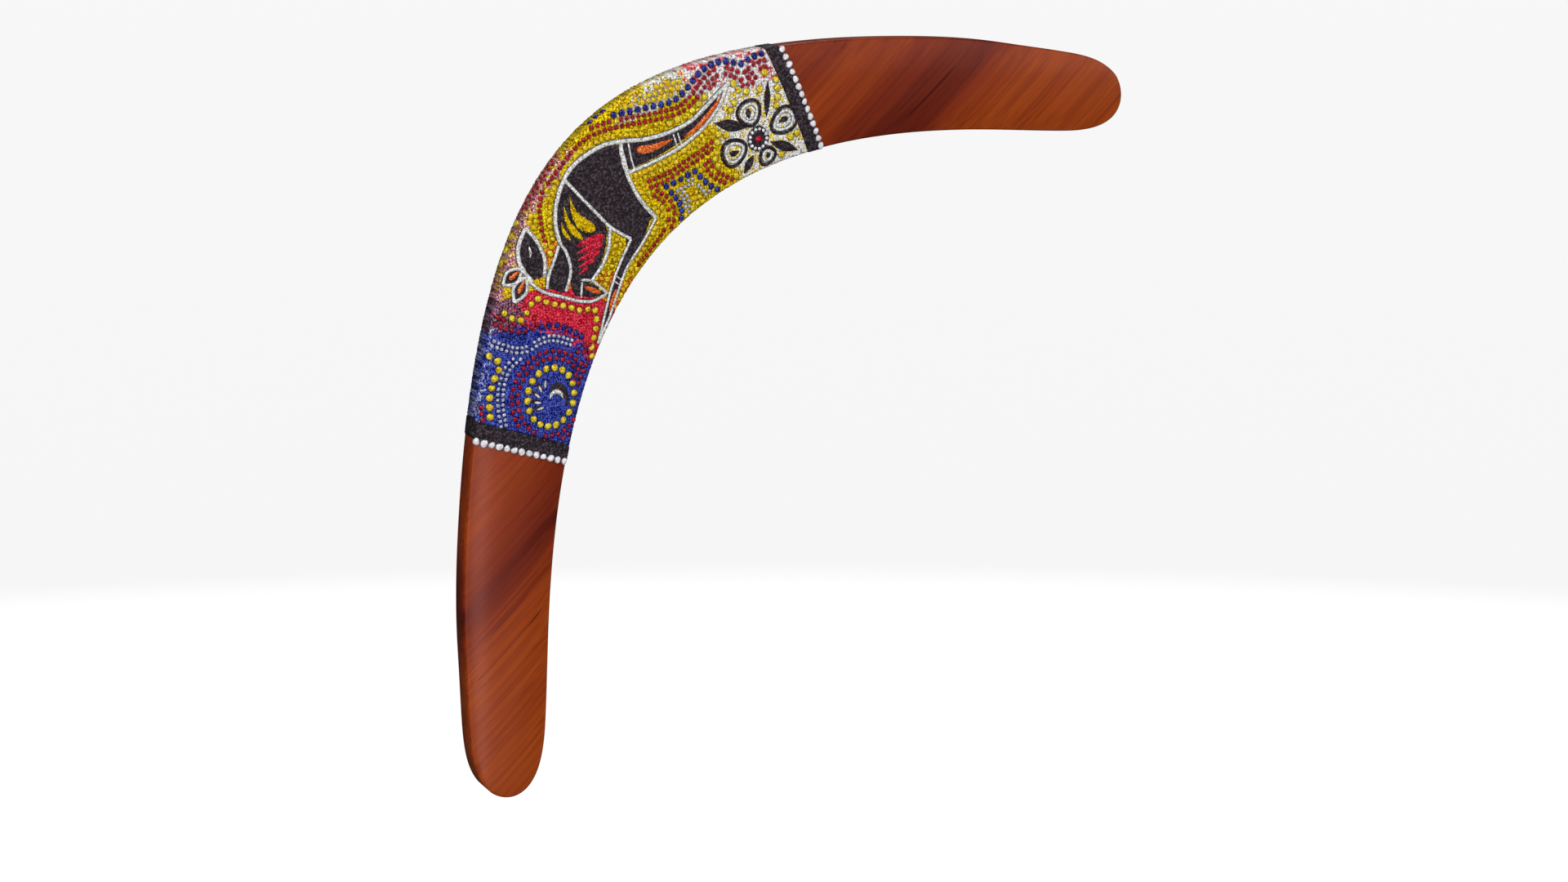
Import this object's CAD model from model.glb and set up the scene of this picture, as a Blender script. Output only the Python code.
"""Painted wooden throwing stick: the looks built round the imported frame.

Lengths in this script are millimetres until they go into a mesh, which is in metres.
"""
import math

import bmesh
import bpy
import numpy as np
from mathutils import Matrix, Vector

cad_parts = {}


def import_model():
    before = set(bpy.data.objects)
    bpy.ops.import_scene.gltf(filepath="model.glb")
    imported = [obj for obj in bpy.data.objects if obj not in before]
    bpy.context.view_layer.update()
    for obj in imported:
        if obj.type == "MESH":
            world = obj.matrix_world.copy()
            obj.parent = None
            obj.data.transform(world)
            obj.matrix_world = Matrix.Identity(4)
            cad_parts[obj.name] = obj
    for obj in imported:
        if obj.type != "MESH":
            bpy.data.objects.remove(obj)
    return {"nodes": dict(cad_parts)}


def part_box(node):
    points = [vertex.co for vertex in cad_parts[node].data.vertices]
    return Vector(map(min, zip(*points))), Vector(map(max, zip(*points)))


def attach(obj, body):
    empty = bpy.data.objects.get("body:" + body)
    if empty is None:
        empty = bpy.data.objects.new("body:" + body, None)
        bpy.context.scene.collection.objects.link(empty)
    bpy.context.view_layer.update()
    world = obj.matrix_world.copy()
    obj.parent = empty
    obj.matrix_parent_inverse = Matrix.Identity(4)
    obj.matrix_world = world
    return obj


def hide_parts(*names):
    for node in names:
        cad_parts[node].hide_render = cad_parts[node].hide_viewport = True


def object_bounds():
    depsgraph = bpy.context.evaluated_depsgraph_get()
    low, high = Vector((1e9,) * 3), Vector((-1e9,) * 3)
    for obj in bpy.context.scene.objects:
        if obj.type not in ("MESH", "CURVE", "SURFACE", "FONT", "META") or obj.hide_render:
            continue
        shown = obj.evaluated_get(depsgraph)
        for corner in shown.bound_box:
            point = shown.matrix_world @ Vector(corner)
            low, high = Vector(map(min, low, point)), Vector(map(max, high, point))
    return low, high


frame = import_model()
cad_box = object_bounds()

MM = 0.001
BODY = "root"

# ---------------------------------------------------------------- blade
# The same driving sizes as the plank's solid.
TIP_U = 219.0          # half of the distance from tip to tip
LEAN = math.radians(40.3)
APEX = np.array([-113.1, 125.6])
ELBOW_W = 60.5
EDGE_H = 8.2
CROWN_H = 1.6
RIM_R = 1.4
BACK_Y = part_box("wood_blank")[1][1] / MM
CLOSE_U, CLOSE_P = 143.0, 3.2
BEND_U, BEND_V = 181.0, 14.2


def edge(u, a, m, drop=0.0):
    """Height of one edge in the drawing frame: the hyperbola a - sqrt(a^2 + m u^2), lowered by drop."""
    return a - np.sqrt(a * a + m * u * u) - drop


def closing(u):
    """One along the wings, falling to nought at the tips as the root of 1 - e^p."""
    e = np.maximum(0, np.abs(u) - CLOSE_U) / (TIP_U - CLOSE_U)
    return np.sqrt(np.maximum(0, 1 - e ** CLOSE_P))


def mid_v(u):
    """Middle line: halfway between the two edges, bent back a little near the tips."""
    bend = BEND_V * (np.maximum(0, np.abs(u) - BEND_U) / (TIP_U - BEND_U)) ** 2.4
    return (edge(u, 173, 1.692) + edge(u, 335, 2.848, ELBOW_W)) / 2 + bend


def half_v(u):
    """Half of the width at u, measured along v."""
    return (edge(u, 173, 1.692) - edge(u, 335, 2.848, ELBOW_W)) / 2 * closing(u)


def rim_at(u):
    """Radius of the broken rim, which shrinks with the width at the tips."""
    return np.minimum(RIM_R, half_v(u) * 0.6)


def thickness(u, v):
    """Plank thickness: the edge height plus a crown that is level in the middle and rolls off to both rims."""
    f = np.clip((v - mid_v(u)) / np.maximum(0.1, half_v(u) - rim_at(u)), -1, 1)
    return EDGE_H + CROWN_H * closing(u) * (1 - np.abs(f) ** 2.6)


def to_row(u, v, y):
    """Turns the drawing frame by the lean and moves its origin to the outside of the elbow; gives [x, y, z]."""
    x = APEX[0] + u * math.cos(LEAN) - v * math.sin(LEAN)
    z = APEX[1] + u * math.sin(LEAN) + v * math.cos(LEAN)
    return np.stack([x, np.broadcast_to(y, x.shape), z], -1)


def to_drawing(x, z):
    """The drawing frame's u and v of a place on the face."""
    dx, dz = x - APEX[0], z - APEX[1]
    return dx * math.cos(LEAN) + dz * math.sin(LEAN), dz * math.cos(LEAN) - dx * math.sin(LEAN)


# ---------------------------------------------------------------- noise
def hashed(ix, iz, seed):
    """Repeatable value from 0 to 1 for each pair of whole numbers."""
    h = (ix.astype(np.int64) * 374761393 + iz.astype(np.int64) * 668265263 + seed * 2147483647) & 0xFFFFFFFF
    h = ((h ^ (h >> 13)) * 1274126177) & 0xFFFFFFFF
    return ((h ^ (h >> 16)) & 0xFFFF) / 65535.0


def value_noise(x, z, size, seed):
    """Smooth noise from 0 to 1 whose bumps are about size across."""
    x, z = x / size, z / size
    ix, iz = np.floor(x), np.floor(z)
    fx, fz = x - ix, z - iz
    fx, fz = fx * fx * (3 - 2 * fx), fz * fz * (3 - 2 * fz)
    a, b = hashed(ix, iz, seed), hashed(ix + 1, iz, seed)
    c, d = hashed(ix, iz + 1, seed), hashed(ix + 1, iz + 1, seed)
    return (a * (1 - fx) + b * fx) * (1 - fz) + (c * (1 - fx) + d * fx) * fz


def dab_noise(x, z, size, seed):
    """Height of overlapping round dabs, one to a cell of the given size, from 0 at a seam to 1 on top."""
    gx, gz = np.floor(x / size), np.floor(z / size)
    best = np.full(np.shape(x), 9.0)
    second = np.full(np.shape(x), 9.0)
    for ox in (-1, 0, 1):
        for oz in (-1, 0, 1):
            cx, cz = gx + ox, gz + oz
            px = (cx + 0.15 + 0.7 * hashed(cx, cz, seed)) * size
            pz = (cz + 0.15 + 0.7 * hashed(cx, cz, seed + 7)) * size
            d = np.hypot(x - px, z - pz) / size
            second = np.minimum(second, np.maximum(best, d))
            best = np.minimum(best, d)
    return np.clip((second - best) * 1.8, 0, 1) ** 0.6


# ---------------------------------------------------------------- meshes
def mesh_object(name, points, *face_groups):
    """Smooth closed shell at the origin from points in millimetres and arrays of quads or triangles; its
    doubled points are merged and its normals turned outwards."""
    mesh = bpy.data.meshes.new(name)
    mesh.vertices.add(len(points))
    mesh.vertices.foreach_set("co", (points * MM).astype(np.float32).ravel())
    corners = np.concatenate([g.ravel() for g in face_groups]).astype(np.int32)
    counts = np.concatenate([np.full(len(g), g.shape[1]) for g in face_groups])
    mesh.loops.add(len(corners))
    mesh.loops.foreach_set("vertex_index", corners)
    mesh.polygons.add(len(counts))
    mesh.polygons.foreach_set("loop_start", np.concatenate([[0], np.cumsum(counts)[:-1]]).astype(np.int32))
    mesh.update(calc_edges=True)
    obj = bpy.data.objects.new(name, mesh)
    bpy.context.scene.collection.objects.link(obj)
    return outward(obj)


def sheet_faces(n, m, closed_columns=False):
    """Quads of an n by m grid, wrapped round where its columns close."""
    i, j = np.meshgrid(np.arange(n - 1), np.arange(m if closed_columns else m - 1), indexing="ij")
    after = (j + 1) % m
    return np.stack([i * m + j, i * m + after, (i + 1) * m + after, (i + 1) * m + j], -1).reshape(-1, 4)


def outward(obj):
    """Merges doubled points and turns the normals of a closed shell outwards; shades it smooth."""
    bm = bmesh.new()
    bm.from_mesh(obj.data)
    bmesh.ops.remove_doubles(bm, verts=bm.verts, dist=1e-7)
    bmesh.ops.recalc_face_normals(bm, faces=bm.faces)
    bm.to_mesh(obj.data)
    bm.free()
    obj.data.polygons.foreach_set("use_smooth", np.ones(len(obj.data.polygons), bool))
    return obj


def set_attribute(obj, name, values):
    """Stores one number a vertex for the material to read."""
    layer = obj.data.attributes.new(name, "FLOAT", "POINT")
    layer.data.foreach_set("value", np.asarray(values, np.float32).ravel())


def piece(obj, slot, *nodes):
    """Finishes a piece: it rides on the one body, takes its slot, and stands for its nodes."""
    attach(obj, BODY)
    if nodes:
        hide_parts(*nodes)
    return obj


# ---------------------------------------------------------------- shader helpers
def srgb(r, g, b):
    """Colour from 0 to 255 display values to the linear values that shaders take."""
    c = np.array([r, g, b]) / 255.0
    c = np.where(c <= 0.04045, c / 12.92, ((c + 0.055) / 1.055) ** 2.4)
    return (float(c[0]), float(c[1]), float(c[2]), 1.0)


class Tree:
    """A node tree with short calls for adding nodes and joining sockets."""

    def __init__(self, nodes_owner):
        self.tree = nodes_owner

    def add(self, kind, **settings):
        node = self.tree.nodes.new(kind)
        for key, value in settings.items():
            setattr(node, key, value)
        return node

    def join(self, a, b):
        self.tree.links.new(a, b)

    def math(self, operation, a, b=0.5, clamp=False):
        node = self.add("ShaderNodeMath", operation=operation, use_clamp=clamp)
        for socket, value in zip(node.inputs, (a, b)):
            if isinstance(value, (int, float)):
                socket.default_value = value
            else:
                self.join(value, socket)
        return node.outputs[0]

    def mix(self, factor, a, b, blend="MIX"):
        node = self.add("ShaderNodeMix", data_type="RGBA", blend_type=blend)
        for socket, value in ((node.inputs[0], factor), (node.inputs[6], a), (node.inputs[7], b)):
            if isinstance(value, (int, float, tuple)):
                socket.default_value = value
            else:
                self.join(value, socket)
        return node.outputs[2]

    def ramp(self, value, stops):
        node = self.add("ShaderNodeValToRGB")
        elements = node.color_ramp.elements
        while len(elements) < len(stops):
            elements.new(0.5)
        for element, (place, colour) in zip(elements, stops):
            element.position = place
            element.color = colour if isinstance(colour, tuple) else (colour, colour, colour, 1)
        self.join(value, node.inputs[0])
        return node.outputs[0]

    def noise(self, vector, scale, detail=3.0, rough=0.5, distortion=0.0):
        node = self.add("ShaderNodeTexNoise")
        node.inputs["Scale"].default_value = scale
        node.inputs["Detail"].default_value = detail
        node.inputs["Roughness"].default_value = rough
        node.inputs["Distortion"].default_value = distortion
        self.join(vector, node.inputs["Vector"])
        return node.outputs[0]


def new_group(name, inputs, outputs):
    """Empty shader group with its sockets; returns the Tree, the input node and the output node."""
    group = bpy.data.node_groups.new(name, "ShaderNodeTree")
    for label, kind in inputs:
        group.interface.new_socket(label, in_out="INPUT", socket_type=kind)
    for label, kind in outputs:
        group.interface.new_socket(label, in_out="OUTPUT", socket_type=kind)
    tree = Tree(group)
    return tree, tree.add("NodeGroupInput"), tree.add("NodeGroupOutput")


def glitter_group():
    """Crumpled paint full of fine flakes: brightness, roughness and normal change over the surface."""
    t, inp, out = new_group(
        "glitter",
        [("Crumple size", "NodeSocketFloat"), ("Flake size", "NodeSocketFloat"),
         ("Relief", "NodeSocketFloat"), ("Sparkle", "NodeSocketFloat")],
        [("Shade", "NodeSocketFloat"), ("Roughness", "NodeSocketFloat"), ("Normal", "NodeSocketVector")])
    place = t.add("ShaderNodeTexCoord").outputs["Object"]
    crumple_scale = t.math("DIVIDE", 1.0, inp.outputs["Crumple size"])
    flake_scale = t.math("DIVIDE", 1.0, inp.outputs["Flake size"])
    crumple = t.add("ShaderNodeTexNoise")
    crumple.inputs["Detail"].default_value = 3.0
    crumple.inputs["Roughness"].default_value = 0.65
    crumple.inputs["Distortion"].default_value = 0.8
    t.join(place, crumple.inputs["Vector"])
    t.join(crumple_scale, crumple.inputs["Scale"])
    flakes = t.add("ShaderNodeTexVoronoi")
    t.join(place, flakes.inputs["Vector"])
    t.join(flake_scale, flakes.inputs["Scale"])
    split = t.add("ShaderNodeSeparateColor")
    t.join(flakes.outputs["Color"], split.inputs[0])
    shade = t.math("ADD", t.math("MULTIPLY", crumple.outputs[0], 0.9),
                   t.math("MULTIPLY", t.math("POWER", split.outputs[0], 3.0), 0.55))
    t.join(shade, out.inputs["Shade"])
    t.join(t.math("ADD", 0.22, t.math("MULTIPLY", split.outputs[1], 0.4)), out.inputs["Roughness"])
    bump = t.add("ShaderNodeBump")
    bump.inputs["Distance"].default_value = 0.0004
    t.join(inp.outputs["Relief"], bump.inputs["Strength"])
    t.join(crumple.outputs[0], bump.inputs["Height"])
    centred = t.add("ShaderNodeVectorMath", operation="SUBTRACT")
    centred.inputs[1].default_value = (0.5, 0.5, 0.5)
    t.join(flakes.outputs["Color"], centred.inputs[0])
    tilt = t.add("ShaderNodeVectorMath", operation="SCALE")
    t.join(centred.outputs[0], tilt.inputs[0])
    t.join(inp.outputs["Sparkle"], tilt.inputs["Scale"])
    turned = t.add("ShaderNodeVectorMath", operation="ADD")
    t.join(bump.outputs[0], turned.inputs[0])
    t.join(tilt.outputs[0], turned.inputs[1])
    unit = t.add("ShaderNodeVectorMath", operation="NORMALIZE")
    t.join(turned.outputs[0], unit.inputs[0])
    t.join(unit.outputs[0], out.inputs["Normal"])
    return t.tree


GLITTER = glitter_group()


def new_material(name):
    """Material with its Tree and its Principled shader."""
    material = bpy.data.materials.new(name)
    material.use_nodes = True
    tree = Tree(material.node_tree)
    return material, tree, material.node_tree.nodes["Principled BSDF"]


def paint(name, dark, body, light, crumple=0.9, flake=0.4, relief=0.6, sparkle=0.5, metal=0.35, coat=0.0,
          rim=None, over=()):
    """Relief paint: three tones of one colour follow the crumples and flakes, under a satin or glittery skin.
    A rim colour shows through where the paint thins out round the foot of a drop. Each entry of over is a
    stored weight and the three tones that it brings in; those grounds also follow their dabs, light on top
    and dark in the seams, and darken close round their drops."""
    material, t, shader = new_material(name)
    glitter = t.add("ShaderNodeGroup")
    glitter.node_tree = GLITTER
    glitter.inputs["Crumple size"].default_value = crumple * MM
    glitter.inputs["Flake size"].default_value = flake * MM
    glitter.inputs["Relief"].default_value = relief
    glitter.inputs["Sparkle"].default_value = sparkle
    shade = glitter.outputs["Shade"]
    if over:
        dab = t.add("ShaderNodeAttribute", attribute_name="dab").outputs["Fac"]
        shade = t.math("ADD", shade, t.math("MULTIPLY", t.math("SUBTRACT", dab, 0.6), 0.6))
    tone = t.ramp(shade, [(0.36, dark), (0.56, body), (0.86, light)])
    for weight, tones in over:
        second = t.ramp(shade, list(zip((0.36, 0.56, 0.86), tones)))
        tone = t.mix(t.add("ShaderNodeAttribute", attribute_name=weight).outputs["Fac"], tone, second)
    if over:
        near = t.add("ShaderNodeAttribute", attribute_name="near drop").outputs["Fac"]
        rim_shade = t.ramp(near, [(0.0, (1.0, 1.0, 1.0, 1)), (1.0, (0.42, 0.4, 0.38, 1))])
        tone = t.mix(1.0, tone, rim_shade, "MULTIPLY")
    if rim:
        lift = t.add("ShaderNodeAttribute", attribute_name="lift").outputs["Fac"]
        tone = t.mix(t.ramp(lift, [(0.25, 0.0), (0.62, 1.0)]), rim, tone)
    t.join(tone, shader.inputs["Base Color"])
    t.join(glitter.outputs["Roughness"], shader.inputs["Roughness"])
    t.join(glitter.outputs["Normal"], shader.inputs["Normal"])
    shader.inputs["Metallic"].default_value = metal
    shader.inputs["Specular Tint"].default_value = light
    shader.inputs["Coat Weight"].default_value = coat
    shader.inputs["Coat Roughness"].default_value = 0.15
    return material


GOLD_TONES = (srgb(120, 78, 0), srgb(206, 162, 4), srgb(255, 240, 40))
RED_TONES = (srgb(112, 4, 22), srgb(196, 14, 42), srgb(250, 84, 104))
BLUE_TONES = (srgb(8, 10, 52), srgb(22, 32, 124), srgb(96, 112, 216))
SILVER_TONES = (srgb(112, 111, 106), srgb(210, 210, 207), srgb(255, 255, 254))
EMBER_TONES = (srgb(140, 20, 8), srgb(204, 70, 14), srgb(250, 150, 60))
DUSK_TONES = (srgb(34, 20, 36), srgb(84, 44, 66), srgb(170, 130, 150))
MIST_TONES = (srgb(50, 56, 110), srgb(104, 112, 158), srgb(210, 215, 232))
PINK_TONES = (srgb(100, 30, 60), srgb(170, 84, 110), srgb(240, 200, 215))
GOLD = paint("gold relief paint", *GOLD_TONES)
RED = paint("crimson relief paint", *RED_TONES)
SILVER = paint("silver relief paint", *SILVER_TONES, metal=0.12, rim=srgb(58, 58, 62))
GOLD_GROUND = paint("gold ground paint", *GOLD_TONES,
                    over=(("silver", SILVER_TONES), ("ember", EMBER_TONES), ("pale", PINK_TONES)))
RED_GROUND = paint("crimson ground paint", *RED_TONES,
                   over=(("dusk", DUSK_TONES), ("blue", BLUE_TONES), ("pale", MIST_TONES)))
BLUE_GROUND = paint("deep blue ground paint", *BLUE_TONES, over=(("crimson", RED_TONES), ("pale", MIST_TONES)))
SILVER_GROUND = paint("silver ground paint", *SILVER_TONES, metal=0.12,
                      over=(("gold", GOLD_TONES), ("ember", RED_TONES)))
BLACK = paint("black relief paint", srgb(24, 20, 23), srgb(42, 36, 39), srgb(78, 68, 76), crumple=0.8, flake=0.7,
              sparkle=0.2, metal=0.1)
ORANGE = paint("orange relief paint", srgb(150, 46, 8), srgb(224, 92, 28), srgb(255, 165, 100))
DARK_RED = paint("dark red dots", srgb(84, 2, 18), srgb(134, 5, 30), srgb(205, 40, 62), relief=0.3, sparkle=0.2,
                 metal=0.1, coat=0.4, rim=srgb(70, 8, 10))
NAVY_DOTS = paint("navy dots", srgb(6, 8, 50), srgb(16, 20, 100), srgb(60, 76, 180), relief=0.3, sparkle=0.2,
                  metal=0.1, coat=0.4, rim=srgb(8, 10, 36))
GOLD_DOTS = paint("gold dots", srgb(170, 130, 6), srgb(216, 186, 14), srgb(255, 245, 110), relief=0.5,
                  sparkle=0.35, rim=srgb(112, 96, 8))
FIELD_DOTS = paint("gold field dots", srgb(176, 120, 2), srgb(222, 184, 10), srgb(255, 240, 90), relief=0.6,
                   sparkle=0.4, rim=srgb(140, 104, 4))
SILVER_DOTS = paint("silver dots", srgb(116, 120, 140), srgb(160, 164, 184), srgb(228, 230, 240), relief=0.3,
                    sparkle=0.2, metal=0.2, rim=srgb(84, 90, 124))
WHITE_BEADS = paint("white beads", srgb(172, 172, 178), srgb(204, 204, 210), srgb(244, 244, 248), crumple=1.5,
                    relief=0.12, sparkle=0.05, metal=0.0, coat=0.2, rim=srgb(96, 90, 92))


def wood_material():
    """Red-brown plank under satin varnish: long streaks and dark pore lines run tip to tip beside wide lighter
    and darker bands, whose place across the grain is set, and its gloss is reddish."""
    material, t, shader = new_material("varnished plank")
    place = t.add("ShaderNodeTexCoord").outputs["Object"]
    turn = t.add("ShaderNodeMapping", vector_type="TEXTURE")
    turn.inputs["Rotation"].default_value = (0, -LEAN, 0)
    t.join(place, turn.inputs["Vector"])

    def along(scale_u, scale_v, detail, distortion=0.3):
        stretch = t.add("ShaderNodeMapping")
        stretch.inputs["Scale"].default_value = (scale_u, scale_v, scale_v)
        t.join(turn.outputs[0], stretch.inputs["Vector"])
        return t.noise(stretch.outputs[0], 1.0, detail, 0.55, distortion)

    band = along(3.0, 22, 1.5)
    split = t.add("ShaderNodeSeparateXYZ")
    t.join(turn.outputs[0], split.inputs[0])
    wander = t.math("MULTIPLY", t.math("SUBTRACT", band, 0.5), 0.04)
    wide = t.ramp(t.math("MULTIPLY", t.math("ADD", split.outputs["Z"], wander), 7.0),
                  [(0.14, 0.6), (0.25, 0.58), (0.40, 0.3), (0.52, 0.4), (0.63, 0.52), (0.85, 0.46)])
    streak = along(4, 120, 3)
    fine = along(12, 620, 3)
    line = along(6, 380, 2, 0.0)
    tone = t.math("ADD", t.math("MULTIPLY", wide, 0.6), t.math("MULTIPLY", t.math("ADD", band, streak), 0.2))
    colour = t.ramp(tone, [(0.36, srgb(80, 18, 10)), (0.45, srgb(112, 35, 8)), (0.53, srgb(138, 54, 6)),
                           (0.66, srgb(162, 74, 8))])
    grain = t.ramp(fine, [(0.36, srgb(226, 214, 210)), (0.6, srgb(255, 255, 255))])
    colour = t.mix(1.0, colour, grain, "MULTIPLY")
    pores = t.ramp(line, [(0.27, srgb(176, 154, 148)), (0.31, srgb(255, 255, 255))])
    colour = t.mix(1.0, colour, pores, "MULTIPLY")
    t.join(colour, shader.inputs["Base Color"])
    t.join(t.math("ADD", 0.3, t.math("MULTIPLY", streak, 0.16)), shader.inputs["Roughness"])
    bump = t.add("ShaderNodeBump")
    bump.inputs["Strength"].default_value = 0.15
    bump.inputs["Distance"].default_value = 0.0002
    t.join(fine, bump.inputs["Height"])
    t.join(bump.outputs[0], shader.inputs["Normal"])
    shader.inputs["Specular Tint"].default_value = (1.0, 0.36, 0.3, 1)
    shader.inputs["Specular IOR Level"].default_value = 0.5
    shader.inputs["Coat Weight"].default_value = 0.04
    shader.inputs["Coat Roughness"].default_value = 0.15
    return material


WOOD = wood_material()


def coated(obj, material):
    """Gives a piece its one material."""
    obj.data.materials.clear()
    obj.data.materials.append(material)
    return obj


# ---------------------------------------------------------------- plank
def section(u, e, across, rim_steps, foot):
    """Cross-section at u, grown outwards by e: wall, rounded rim, crowned face, rim, wall. A point of the rim
    is the face's edge plus (r + e)(cos t, -sin t). The columns of the result follow it; gives v and y."""
    turn = np.radians(90) * np.arange(rim_steps) / rim_steps
    f = np.concatenate([np.full(rim_steps + 1, -1), np.linspace(-1, 1, across + 1), np.full(rim_steps + 1, 1)])
    out = np.concatenate([[-1], -np.cos(turn), np.zeros(across + 1), np.cos(turn)[::-1], [1]])
    drop = np.concatenate([[0], np.sin(turn), np.ones(across + 1), np.sin(turn)[::-1], [0]])
    r = rim_at(u)
    face_v = mid_v(u) + f * (half_v(u) - r)
    v = face_v + out * (r + e)
    y = BACK_Y - EDGE_H + r - (r + e) * drop + (EDGE_H - thickness(u, face_v))
    y = np.where(out == 0, BACK_Y - thickness(u, face_v) - e, y)
    ends = np.arange(len(f)) % (len(f) - 1) == 0
    return v, np.where(ends, BACK_Y - foot, y)


def plank():
    """The plank as rings of its cross-section at stations u = TIP_U sin(a), with its back edges just eased."""
    u = TIP_U * np.sin(np.linspace(-1, 1, 361) * math.pi / 2)[:, None] * 0.9995
    v, y = section(u, 0.0, 56, 8, 0.0)
    worn = np.minimum(0.5, half_v(u) * 0.3)
    y[:, [0, -1]] -= worn
    back_v = v[:, -1:] - worn + np.linspace(0, 1, 24) * (v[:, :1] - v[:, -1:] + 2 * worn)
    v = np.concatenate([v, back_v], 1)
    y = np.concatenate([y, np.full(back_v.shape, BACK_Y)], 1)
    points = to_row(np.broadcast_to(u, v.shape), v, y)
    n, m = v.shape
    flat = np.concatenate([points.reshape(-1, 3), points[[0, -1]].mean(1)])
    j = np.arange(m)
    first = np.stack([np.full(m, n * m), j, (j + 1) % m], -1)
    last = np.stack([np.full(m, n * m + 1), (n - 1) * m + j, (n - 1) * m + (j + 1) % m], -1)
    obj = mesh_object("plank", flat, sheet_faces(n, m, True), first, last)
    return piece(coated(obj, WOOD), "wood", "wood_blank")


plank()


# ---------------------------------------------------------------- ground coats and bands
RIM_STEPS = 4
FOOT = 0.6


def border_u(border, w):
    """Place u of a border where w runs from the inner edge to the outer one: a + b w + c w^2."""
    return border[0] + border[1] * w + border[2] * w * w


def coat(name, start, end, height, material, slot, node, relief, pitch=0.42, lip=0.25):
    """Coat over face and walls between two borders: the plank's section grown by height plus a relief,
    which thins out to a soft lip at both borders."""
    across = int(60 / pitch)
    w = np.concatenate([np.zeros(RIM_STEPS + 1), np.linspace(0, 1, across + 1), np.ones(RIM_STEPS + 1)])
    length = (border_u(end, w) - border_u(start, w))[None]
    rows = int(length.max() / pitch) + 2
    f = np.linspace(0, 1, rows)[:, None]
    u = border_u(start, w) * (1 - f) + border_u(end, w) * f
    soft = np.clip(np.minimum(f, 1 - f) * length / lip, 0, 1) ** 0.5
    v, y = section(u, 0.0, across, RIM_STEPS, FOOT)
    outer_v, outer_y = section(u, 1.0, across, RIM_STEPS, FOOT)
    place = to_row(u, v, y)
    raised = height * (0.35 + 0.65 * soft) + relief(place[..., 0], place[..., 2] + place[..., 1] * 0.7) * soft
    top = to_row(u, v + (outer_v - v) * raised, y + (outer_y - y) * raised)
    under = to_row(u, v - (outer_v - v) * 0.15, y - (outer_y - y) * 0.15)
    n, m = u.shape
    faces = sheet_faces(n, m)
    rim = np.concatenate([np.arange(m), np.arange(1, n) * m + m - 1,
                          (n - 1) * m + np.arange(m - 2, -1, -1), np.arange(n - 2, 0, -1) * m])
    turned = np.roll(rim, -1)
    walls = np.stack([rim, turned, turned + n * m, rim + n * m], -1)
    points = np.concatenate([top.reshape(-1, 3), under.reshape(-1, 3)])
    obj = mesh_object(name, points, faces, faces[:, ::-1] + n * m, walls[:, ::-1])
    return piece(coated(obj, material), slot, node)


def dab_height(x, z, size, seed):
    """Overlapping dabs whose outlines wander, from 0 in a seam to 1 on top."""
    wave = value_noise(x, z, 0.8, seed + 3) - 0.5
    return dab_noise(x + wave * 0.6, z + wave * 0.5, size, seed)


def dabs(size, depth, seed):
    """Relief of overlapping dabs of paint with a fine crumple on top."""
    def relief(x, z):
        return depth * (dab_height(x, z, size, seed) - 0.8 + 0.4 * (value_noise(x, z, 0.8, seed + 3) - 0.5))
    return relief


def ridges(pitch, depth, angle, seed):
    """Relief of broken ridges drawn side by side at an angle: a sine across them, bent and broken by noise."""
    def relief(x, z):
        bend = value_noise(x, z, 2.2, seed) * 2.6 + value_noise(x, z, 0.7, seed + 5) * 0.8
        wave = np.sin((x * math.cos(angle) + z * math.sin(angle)) * 2 * math.pi / pitch + bend * 2.2)
        return depth * wave * (0.4 + 0.6 * value_noise(x, z, 1.1, seed + 9))
    return relief


LOW_BAND = (-96, -20.5, 0)
BLUE_TOP = (-57, 2, -27)
RED_TOP = (-36, -10, -24)
SILVER_LEFT = (44, 12, -6)
UP_BAND = (80.5, 12.5, 0)
BAND_W = 6.0
COAT_H = 0.35
BAND_H = 0.55


def shifted(border, d):
    """The same border moved along the blade."""
    return (border[0] + d, border[1], border[2])


gold_coat = coat("gold_coat", RED_TOP, SILVER_LEFT, COAT_H, GOLD_GROUND, "gold", "gold_ground",
                 dabs(1.35, 0.32, 11))
crimson_coat = coat("crimson_coat", BLUE_TOP, RED_TOP, COAT_H, RED_GROUND, "red", "red_ground",
                    dabs(1.25, 0.3, 23))
blue_coat = coat("blue_coat", shifted(LOW_BAND, BAND_W), BLUE_TOP, COAT_H, BLUE_GROUND, "blue", "blue_ground",
                 dabs(1.1, 0.28, 37))
silver_coat = coat("silver_coat", SILVER_LEFT, shifted(UP_BAND, -BAND_W), COAT_H, SILVER_GROUND, "silver",
                   "silver_ground", dabs(1.25, 0.32, 41))
coat("lower_black_border", LOW_BAND, shifted(LOW_BAND, BAND_W), BAND_H, BLACK, "black", "lower_border_band",
     ridges(1.0, 0.14, math.radians(75), 53), 0.3)
coat("upper_black_border", shifted(UP_BAND, -BAND_W), UP_BAND, BAND_H, BLACK, "black", "upper_border_band",
     ridges(1.0, 0.14, math.radians(15), 59), 0.3)


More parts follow.
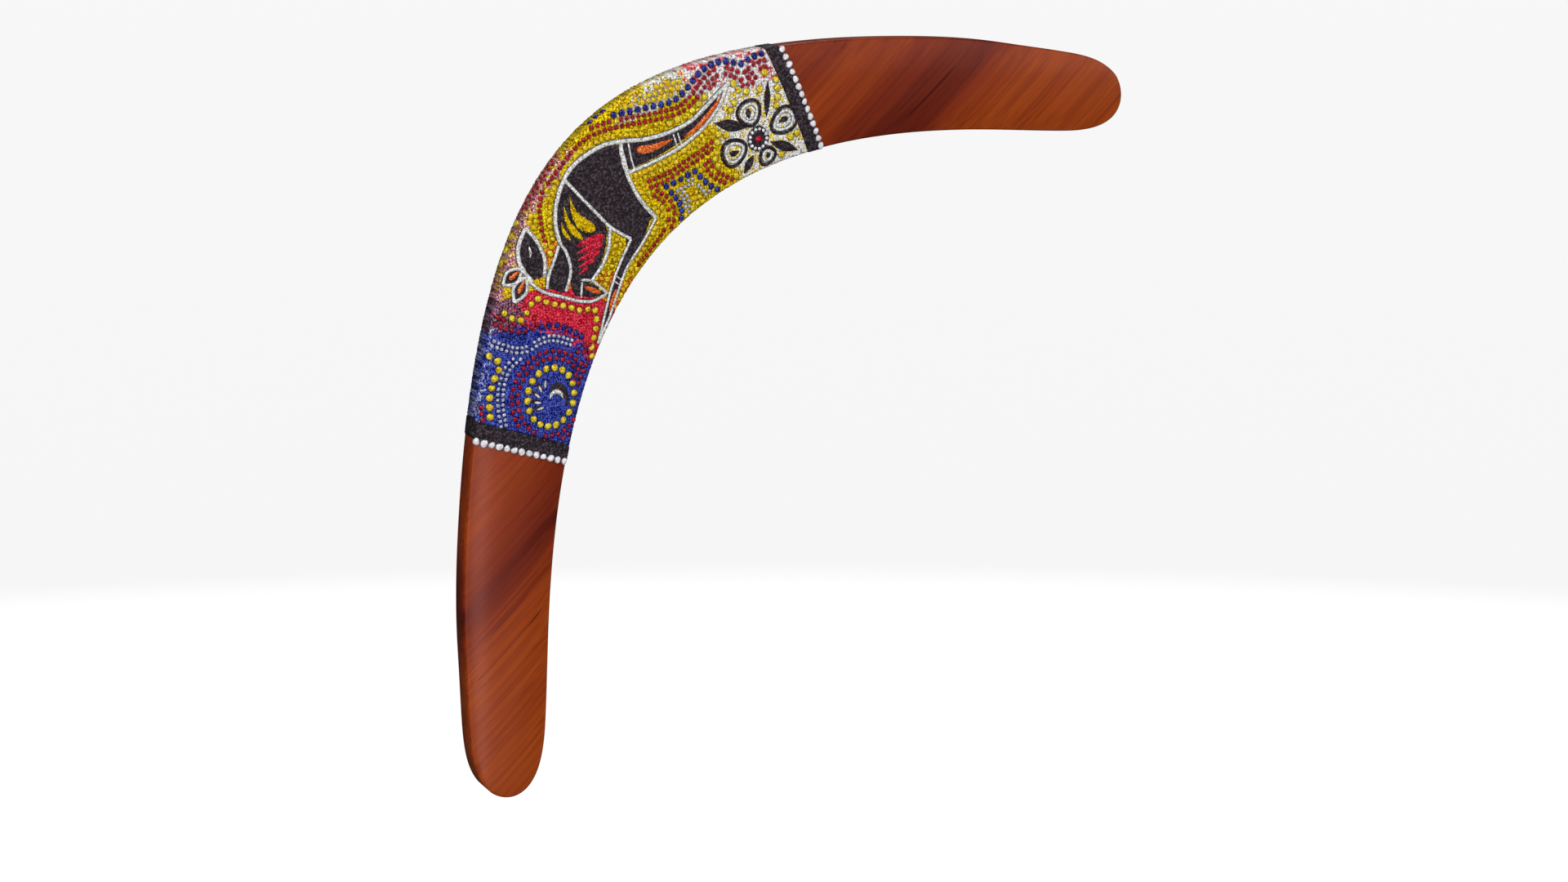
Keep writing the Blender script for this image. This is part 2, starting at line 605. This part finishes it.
# ---------------------------------------------------------------- drawn lines and fills
def repainted(node, name, material, slot, voxel=0.26, relax=3, relief=None):
    """Paint laid over a drawn node: its solid remeshed into one skin of small quads, relaxed by moving each
    point halfway to the mean of its neighbours, then raised along its normals by a relief."""
    source = frame["nodes"][node]
    obj = bpy.data.objects.new(name, source.data.copy())
    bpy.context.scene.collection.objects.link(obj)
    outward(obj)
    remesh = obj.modifiers.new("skin", "REMESH")
    remesh.mode = "VOXEL"
    remesh.voxel_size = voxel * MM
    remesh.use_smooth_shade = True
    done = bpy.data.meshes.new_from_object(obj.evaluated_get(bpy.context.evaluated_depsgraph_get()))
    obj.modifiers.clear()
    obj.data = done
    done.name = name
    count = len(done.vertices)
    co = np.empty(count * 3)
    done.vertices.foreach_get("co", co)
    co = co.reshape(-1, 3) / MM
    ends = np.empty(len(done.edges) * 2, int)
    done.edges.foreach_get("vertices", ends)
    a, b = ends.reshape(-1, 2).T
    degree = np.bincount(np.concatenate([a, b]), minlength=count)[:, None]
    for _ in range(relax):
        mean = np.zeros_like(co)
        for axis in range(3):
            mean[:, axis] = (np.bincount(a, co[b, axis], count) + np.bincount(b, co[a, axis], count))
        co = co + 0.5 * (mean / np.maximum(degree, 1) - co)
    if relief is not None:
        done.vertices.foreach_set("co", (co * MM).ravel())
        done.update()
        normal = np.empty(count * 3, np.float32)
        done.vertex_normals.foreach_get("vector", normal)
        co = co + normal.reshape(-1, 3) * relief(co[:, 0], co[:, 2])[:, None]
    done.vertices.foreach_set("co", (co * MM).ravel())
    done.polygons.foreach_set("use_smooth", np.ones(len(done.polygons), bool))
    done.update()
    height = BACK_Y - thickness(*to_drawing(co[:, 0], co[:, 2])) - co[:, 1]
    set_attribute(obj, "lift", np.clip((height - COAT_H - 0.1) / 0.5, 0, 1))
    return piece(coated(obj, material), slot, node)


FINE = dabs(0.7, 0.12, 71)
STREAKS = ridges(1.3, 0.1, math.radians(20), 83)
for node, name in (("haunch_fill", "painted_haunch"), ("chest_fill", "painted_chest"),
                   ("hind_leg_fill", "painted_hind_leg"),
                   ("tail_fill", "painted_tail"), ("neck_fill", "painted_neck"), ("head_fill", "painted_head"),
                   ("ear_fills", "painted_ears"), ("foreleg_fill", "painted_foreleg")):
    repainted(node, name, BLACK, "black", 0.3, 2, STREAKS)
for node, name in (("petal_outlines", "petal_edges"), ("petal_hearts", "petal_curls"),
                   ("flower_leaves", "slender_leaves"),
                   ("ring_shadows", "ring_shades")):
    repainted(node, name, BLACK, "black", 0.22, 2, dabs(0.8, 0.08, 89))
for node, name in (("body_contour", "silver_body_line"), ("leg_contours", "silver_leg_lines"),
                   ("head_contour", "silver_head_line"), ("ear_contours", "silver_ear_lines"),
                   ("cross_bars", "silver_bars"), ("eye_mark", "silver_eye"), ("petal_scrolls", "silver_scrolls"),
                   ("ring_crescent", "silver_crescent"), ("ring_silver_drops", "silver_drops")):
    repainted(node, name, SILVER, "silver", 0.22, 3, FINE)
for node, name, material, slot in (
        ("chest_gold_strokes", "gold_ribs", GOLD, "gold"),
        ("chest_red_strokes", "red_ribs", RED, "red"),
        ("tail_orange_strokes", "orange_tail_lines", ORANGE, "orange"),
        ("ear_orange_strokes", "orange_ear_lines", ORANGE, "orange"),
        ("paw_orange_strokes", "orange_paws", ORANGE, "orange")):
    repainted(node, name, material, slot, 0.2, 2, FINE)


# ---------------------------------------------------------------- dots
def dot_places(node):
    """Middle and radius of each separate dot in a node, found by joining touching triangles."""
    mesh = frame["nodes"][node].data
    co = np.empty(len(mesh.vertices) * 3)
    mesh.vertices.foreach_get("co", co)
    co = co.reshape(-1, 3) / MM
    loops = np.empty(len(mesh.loops), int)
    mesh.loops.foreach_get("vertex_index", loops)
    _, same = np.unique(np.round(co * 200).astype(int), axis=0, return_inverse=True)
    same = same.ravel()
    tri = same[loops.reshape(-1, 3)]
    label = np.arange(same.max() + 1)
    while True:
        low = label[tri].min(1)
        new = label.copy()
        for corner in range(3):
            np.minimum.at(new, tri[:, corner], low)
        new = new[new]
        if (new == label).all():
            break
        label = new
    _, owner = np.unique(label[same], return_inverse=True)
    lo = np.full((owner.max() + 1, 3), np.inf)
    hi = -lo
    np.minimum.at(lo, owner.ravel(), co)
    np.maximum.at(hi, owner.ravel(), co)
    return (lo + hi) / 2, (hi - lo).max(1) / 2


def stand(centre):
    """Foot and outward normal of each dot: on the face, or on the outer wall where it lies behind the face."""
    x, y, z = centre.T
    u, v = to_drawing(x, z)
    d = 0.5
    across = (thickness(*to_drawing(x + d, z)) - thickness(*to_drawing(x - d, z))) / (2 * d)
    upward = (thickness(*to_drawing(x, z + d)) - thickness(*to_drawing(x, z - d))) / (2 * d)
    face = np.stack([-across, -np.ones(len(x)), -upward], -1)
    face /= np.linalg.norm(face, axis=1)[:, None]
    on_face = np.stack([x, BACK_Y - thickness(u, v), z], -1)
    run = to_row(u + d, edge(u + d, 173, 1.692), 0.0) - to_row(u - d, edge(u - d, 173, 1.692), 0.0)
    wall = np.stack([-run[:, 2], 0 * x, run[:, 0]], -1)
    wall /= np.linalg.norm(wall, axis=1)[:, None]
    on_wall = to_row(u, edge(u, 173, 1.692), y)
    behind = (y > BACK_Y - EDGE_H + 1.6)[:, None]
    return np.where(behind, on_wall, on_face), np.where(behind, wall, face)


# Radius and height of the rings of a drop, and how near its top each is
PROFILE = np.array([[1.0, -0.25], [1.04, 0.12], [0.98, 0.42], [0.78, 0.74], [0.45, 0.94], [0.16, 1.0]])
ALL_DOTS = []


def dots(node, name, height, material, slot, seed, wobble=0.07, sides=14):
    """Domed drops of paint: one profile turned round each dot's own axis, which stands square on its face.
    Each drop's radius, height and outline wander a little."""
    centre, r = dot_places(node)
    foot, normal = stand(centre)
    ALL_DOTS.append(np.concatenate([foot, r[:, None]], 1))
    k = len(r)
    rng = np.random.default_rng(seed)
    r = r * (1 + wobble * rng.uniform(-1, 1, k))
    h = height * (1 + wobble * rng.uniform(-1, 1, k))
    side = np.cross(normal, [0.0, 0.0, 1.0])
    side /= np.linalg.norm(side, axis=1)[:, None]
    up = np.cross(side, normal)
    a = np.linspace(0, 2 * math.pi, sides, endpoint=False)
    lobe = 1 + wobble * 0.8 * np.cos(2 * a[None] + rng.uniform(0, 6.3, (k, 1))) \
        + wobble * 0.5 * np.cos(3 * a[None] + rng.uniform(0, 6.3, (k, 1)))
    lean_a = rng.uniform(0, 6.3, (k, 1, 1))
    radial = r[:, None, None] * lobe[:, None, :] * PROFILE[None, :, :1]
    lift = h[:, None, None] * PROFILE[None, :, 1:] + 0 * radial
    drift = 0.16 * r[:, None, None] * np.maximum(PROFILE[None, :, 1:], 0) ** 2
    px = radial * np.cos(a) + drift * np.cos(lean_a)
    pz = radial * np.sin(a) + drift * np.sin(lean_a)
    points = (foot[:, None, None] + px[..., None] * side[:, None, None] + pz[..., None] * up[:, None, None]
              + lift[..., None] * normal[:, None, None])
    tops = foot + normal * (h * 1.02)[:, None] \
        + (0.16 * r)[:, None] * (np.cos(lean_a[:, 0]) * side + np.sin(lean_a[:, 0]) * up)
    feet = foot - normal * (h * 0.25)[:, None]
    flat = np.concatenate([points.reshape(-1, 3), tops, feet])
    rings = len(PROFILE)
    start = (np.arange(k) * rings * sides)[:, None]
    quads = (sheet_faces(rings, sides, True)[None] + start[..., None]).reshape(-1, 4)
    j = np.arange(sides)
    last = (rings - 1) * sides
    tip = np.broadcast_to(k * rings * sides + np.arange(k)[:, None], (k, sides))
    top_fan = np.stack([start + last + j, start + last + (j + 1) % sides, tip], -1)
    foot_fan = np.stack([start + (j + 1) % sides, start + j, tip + k], -1)
    obj = mesh_object(name, flat, quads, top_fan.reshape(-1, 3), foot_fan.reshape(-1, 3))
    near_top = np.broadcast_to(np.linspace(0, 1, rings)[None, :, None], (k, rings, sides))
    set_attribute(obj, "lift", np.concatenate([near_top.ravel(), np.ones(k), np.zeros(k)]))
    return piece(coated(obj, material), slot, node)


dots("lower_border_beads", "lower_white_beads", 1.1, WHITE_BEADS, "bead_white", 1, 0.1, 24)
dots("upper_border_beads", "upper_white_beads", 1.1, WHITE_BEADS, "bead_white", 2, 0.1, 24)
dots("flower_centre_dots", "rosette_white_dots", 1.1, WHITE_BEADS, "bead_white", 3, 0.08)
dots("flower_centre", "rosette_black_disc", 0.7, BLACK, "black", 5, 0.03, 32)
dots("flower_heart", "rosette_red_heart", 1.25, RED, "red", 4, 0.06, 24)
dots("upper_field_dots", "drops_of_upper_field", 0.72, FIELD_DOTS, "gold", 6, 0.16)
dots("lower_field_dots", "drops_of_lower_field", 0.72, FIELD_DOTS, "gold", 7, 0.16)
for seed, node in enumerate(("ring_gold_dots", "meadow_gold_dots", "flower_gold_dots", "side_gold_dots")):
    dots(node, "drops_of_" + node[:-5], 1.0, GOLD_DOTS, "gold", 10 + seed)
for seed, node in enumerate(("ring_red_dots", "top_red_dots", "inner_red_dots", "low_red_dots")):
    dots(node, "drops_of_" + node[:-5], 0.8, DARK_RED, "dark_red", 20 + seed)
for seed, node in enumerate(("top_blue_dots", "inner_blue_dots", "low_blue_dots")):
    dots(node, "drops_of_" + node[:-5], 0.95, NAVY_DOTS, "blue", 30 + seed)
for seed, node in enumerate(("silver_chain_dots", "inner_silver_dots")):
    dots(node, "drops_of_" + node[:-5], 0.8, SILVER_DOTS, "silver", 40 + seed)


# ---------------------------------------------------------------- blends between the grounds
def ease(value, low, high):
    """Smooth step from 0 at low to 1 at high, in either direction."""
    f = np.clip((value - low) / (high - low), 0, 1)
    return f * f * (3 - 2 * f)


def spots(x, z, weight, size, seed):
    """Breaks an even weight up into dabs, so that one colour goes over into another in patches."""
    patchy = 0.6 * value_noise(x, z, size, seed) + 0.4 * value_noise(x, z, size * 0.4, seed + 1)
    return ease(weight + 1.5 * (patchy - 0.5), 0.4, 0.6) * ease(weight, 0.02, 0.2)


def blend(obj, size, seed, **weights):
    """Stores the weight of each colour laid over a ground, how high each point stands on its dab, and how
    near it is to a drop of paint."""
    count = len(obj.data.vertices)
    co = np.empty(count * 3, np.float32)
    obj.data.vertices.foreach_get("co", co)
    co = co.reshape(-1, 3) / MM
    x, z = co[:, 0], co[:, 2]
    u, v = to_drawing(x, z)
    along = z + (co[:, 1] + COAT_H) * 0.7
    set_attribute(obj, "dab", dab_height(x, along, size, seed))
    for number, (name, weight) in enumerate(weights.items()):
        set_attribute(obj, name, spots(x, along, weight(x, z, u, v), 1.3, 100 + number))
    drops = np.concatenate(ALL_DOTS).astype(np.float32)
    closest = np.full(count, 9.0, np.float32)
    for part in np.array_split(np.arange(count), count // 4000 + 1):
        away = np.linalg.norm(co[part, None] - drops[None, :, :3], axis=2) - drops[None, :, 3]
        closest[part] = away.min(1)
    set_attribute(obj, "near drop", 1 - ease(closest, 0.1, 0.65))


def from_border(u, v, border):
    """Distance along the blade from a border, and the place across the blade from 0 at its inner edge to 1."""
    w = np.clip((v - mid_v(u)) / np.maximum(half_v(u), 1) / 2 + 0.5, 0, 1)
    return u - border_u(border, w)


def near_place(x, z, px, pz, reach):
    """One at a place, falling to nought at the given reach."""
    return 1 - ease(np.hypot(x - px, z - pz), reach * 0.4, reach)


def above_row(x, z, u, v):
    """Silver glitter between the upper blue row and the top edge, and round the tail's tip."""
    depth = edge(u, 173, 1.692) - v
    band = ease(u, 10, 26) * ease(depth, 3.6 - 0.14 * u, 6 - 0.14 * u)
    band = band * (1 - ease(depth, 4.5 + 0.16 * u, 6.5 + 0.17 * u))
    return np.maximum(0.62 * band, 0.5 * ease(from_border(u, v, SILVER_LEFT), -5, 0))


blend(gold_coat, 1.35, 11, silver=above_row,
      ember=lambda x, z, u, v: np.maximum.reduce([
          0.55 * (1 - ease(from_border(u, v, RED_TOP), 0, 9)) * ease(x, -140, -132),
          0.8 * near_place(x, z, -128, 79, 8),
          0.7 * near_place(x, z, -102, 63, 9), 0.5 * near_place(x, z, -92, 60, 10)]),
      pale=lambda x, z, u, v: 0.62 * (1 - ease(edge(u, 173, 1.692) - v, 1, 6)) * (1 - ease(u, -10, 0)))
blend(crimson_coat, 1.25, 23, dusk=lambda x, z, u, v: 0.95 * (1 - ease(x, -146, -137)),
      blue=lambda x, z, u, v: 0.5 * (1 - ease(from_border(u, v, BLUE_TOP), 0, 4)),
      pale=lambda x, z, u, v: 0.42 * (1 - ease(x, -157, -150)))
blend(blue_coat, 1.1, 37,
      crimson=lambda x, z, u, v: 0.5 * ease(from_border(u, v, BLUE_TOP), -4, 0) * ease(x, -150, -130),
      pale=lambda x, z, u, v: 0.5 * (1 - ease(edge(u, 173, 1.692) - v, 0, 7)))
blend(silver_coat, 1.25, 41,
      gold=lambda x, z, u, v: np.maximum(0.5 * (1 - ease(from_border(u, v, SILVER_LEFT), 0, 6)),
                                         0.38 * (z < 140)),
      ember=lambda x, z, u, v: 0.4 * ease(z, 138, 144))


# ---------------------------------------------------------------- stage
FLOOR_GAP = 10.0
FLOOR_Z = cad_box[0][2] - FLOOR_GAP * MM
FLOOR_HALF = 6.0       # half of the floor's width, in metres
UNLIT = bpy.data.collections.new("not lit by the softboxes")


def floor():
    """Wide pale floor that glows by itself: white near the object, a shade greyer beyond a wide circle."""
    mesh = bpy.data.meshes.new("floor")
    corners = ((-1, -1), (1, -1), (1, 1), (-1, 1))
    mesh.from_pydata([(a * FLOOR_HALF, b * FLOOR_HALF, FLOOR_Z) for a, b in corners], [], [(0, 1, 2, 3)])
    obj = bpy.data.objects.new("floor", mesh)
    bpy.context.scene.collection.objects.link(obj)
    material, t, shader = new_material("pale floor")
    place = t.add("ShaderNodeTexCoord").outputs["Object"]
    centred = t.add("ShaderNodeVectorMath", operation="DISTANCE")
    t.join(place, centred.inputs[0])
    centred.inputs[1].default_value = FLOOR_CENTRE
    tone = t.ramp(t.math("DIVIDE", centred.outputs["Value"], 2 * FLOOR_R),
                  [(0.4925, 1.0), (0.5, srgb(245, 245, 245))])
    shader.inputs["Base Color"].default_value = (0.02, 0.02, 0.02, 1)
    shader.inputs["Roughness"].default_value = 0.12
    shader.inputs["Emission Strength"].default_value = 1.0
    t.join(tone, shader.inputs["Emission Color"])
    obj.data.materials.append(material)
    obj.visible_glossy = False
    obj.visible_diffuse = False
    obj.visible_shadow = False
    UNLIT.objects.link(obj)
    UNLIT.collection_objects[0].light_linking.link_state = "EXCLUDE"


YAW = math.radians(-32.0)
PITCH = math.radians(17.0)
LENS = 50.0
AIM = np.array([-15.0, BACK_Y - EDGE_H, -18.6]) * MM
DISTANCE = 974.6 * MM
FORWARD = np.array([-math.cos(PITCH) * math.sin(YAW), math.cos(PITCH) * math.cos(YAW), -math.sin(PITCH)])
FLOOR_R = 2.4          # radius of the white circle, in metres
FLOOR_REACH = 1.179    # how far in front of the camera that circle ends, in metres
LEVEL = np.array([-math.sin(YAW), math.cos(YAW), 0.0])
EYE = AIM - DISTANCE * FORWARD
FLOOR_CENTRE = tuple(float(c) for c in np.array([EYE[0], EYE[1], FLOOR_Z]) + LEVEL * (FLOOR_REACH - FLOOR_R))
floor()


def world():
    """Pale backdrop for the camera, an even sky for soft light, and near darkness in reflections."""
    scene_world = bpy.data.worlds.new("studio")
    bpy.context.scene.world = scene_world
    scene_world.use_nodes = True
    t = Tree(scene_world.node_tree)
    out = next(n for n in scene_world.node_tree.nodes if n.type == "OUTPUT_WORLD")
    seen = next(n for n in scene_world.node_tree.nodes if n.type == "BACKGROUND")
    seen.inputs["Color"].default_value = srgb(247, 247, 247)
    path = t.add("ShaderNodeLightPath")
    sky = t.add("ShaderNodeBackground")
    tone = t.mix(path.outputs["Is Glossy Ray"], (0.36, 0.36, 0.37, 1), (0.03, 0.03, 0.03, 1))
    t.join(tone, sky.inputs["Color"])
    both = t.add("ShaderNodeMixShader")
    t.join(path.outputs["Is Camera Ray"], both.inputs[0])
    t.join(sky.outputs[0], both.inputs[1])
    t.join(seen.outputs[0], both.inputs[2])
    t.join(both.outputs[0], out.inputs["Surface"])


world()


def softbox(name, place, size, power, target=(-0.07, 0.0, 0.03), tint=(1, 1, 1)):
    """Square soft light that faces the object, isn't seen by the camera and leaves the floor alone."""
    data = bpy.data.lights.new(name, "AREA")
    data.shape = "RECTANGLE"
    data.size, data.size_y = size
    data.energy = power
    data.color = tint
    obj = bpy.data.objects.new(name, data)
    bpy.context.scene.collection.objects.link(obj)
    obj.location = place
    obj.rotation_euler = (Vector(target) - Vector(place)).to_track_quat("-Z", "Y").to_euler()
    obj.visible_camera = False
    obj.light_linking.receiver_collection = UNLIT


softbox("key", (-0.9, -1.1, 1.3), (0.7, 0.7), 26)
softbox("fill", (1.3, -1.2, 0.6), (1.2, 1.2), 7)
softbox("back", (0.5, 1.1, 1.7), (1.0, 1.0), 13)
softbox("sheen", (0.02, -1.25, -0.45), (0.22, 0.8), 4.5, (-0.165, 0.0, -0.05))


def camera():
    """Camera at the viewing angle, level, with a 50 mm lens on a 36 mm frame."""
    data = bpy.data.cameras.new("camera")
    data.lens = LENS
    data.sensor_width = 36
    data.clip_start = 0.01
    obj = bpy.data.objects.new("camera", data)
    bpy.context.scene.collection.objects.link(obj)
    obj.location = EYE
    obj.rotation_euler = Vector(FORWARD).to_track_quat("-Z", "Y").to_euler()
    bpy.context.scene.camera = obj


camera()
bpy.context.scene.view_settings.view_transform = "Standard"
